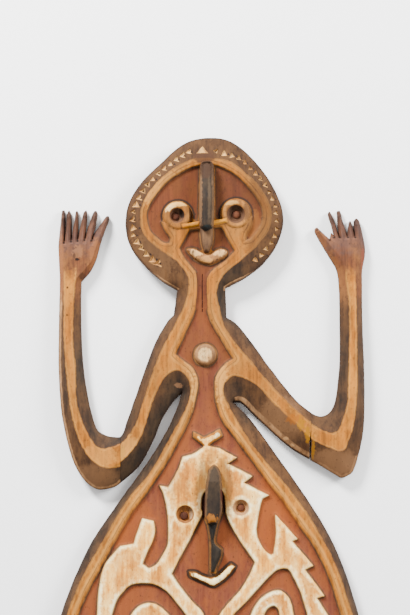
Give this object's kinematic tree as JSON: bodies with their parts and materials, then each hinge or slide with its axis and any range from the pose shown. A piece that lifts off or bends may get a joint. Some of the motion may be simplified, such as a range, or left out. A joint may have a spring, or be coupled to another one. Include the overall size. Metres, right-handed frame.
{
  "type": "gope board",
  "caption": "Carved and painted wooden spirit board: a figure with raised arms, a round head with a long nose, and a leaf-shaped body with a second face in relief.",
  "frame": {"origin": "middle of the board's length and width, on the flat underside it lies on", "axes": "+X to the viewer's right, +Y along the board from the foot to the head, +Z out of the carved face"},
  "size_m": [0.45, 1.29, 0.044],
  "materials": {
    "painted_wood": "carved wood with matte earth paint, red-brown fields, ochre bands and white motifs",
    "forearm_wood": "matte smoke-brown wood with an ochre band"
  },
  "bodies": {
    "root": {"board": "painted_wood", "left_forearm": "forearm_wood", "right_forearm": "forearm_wood"}
  },
  "joints": []
}
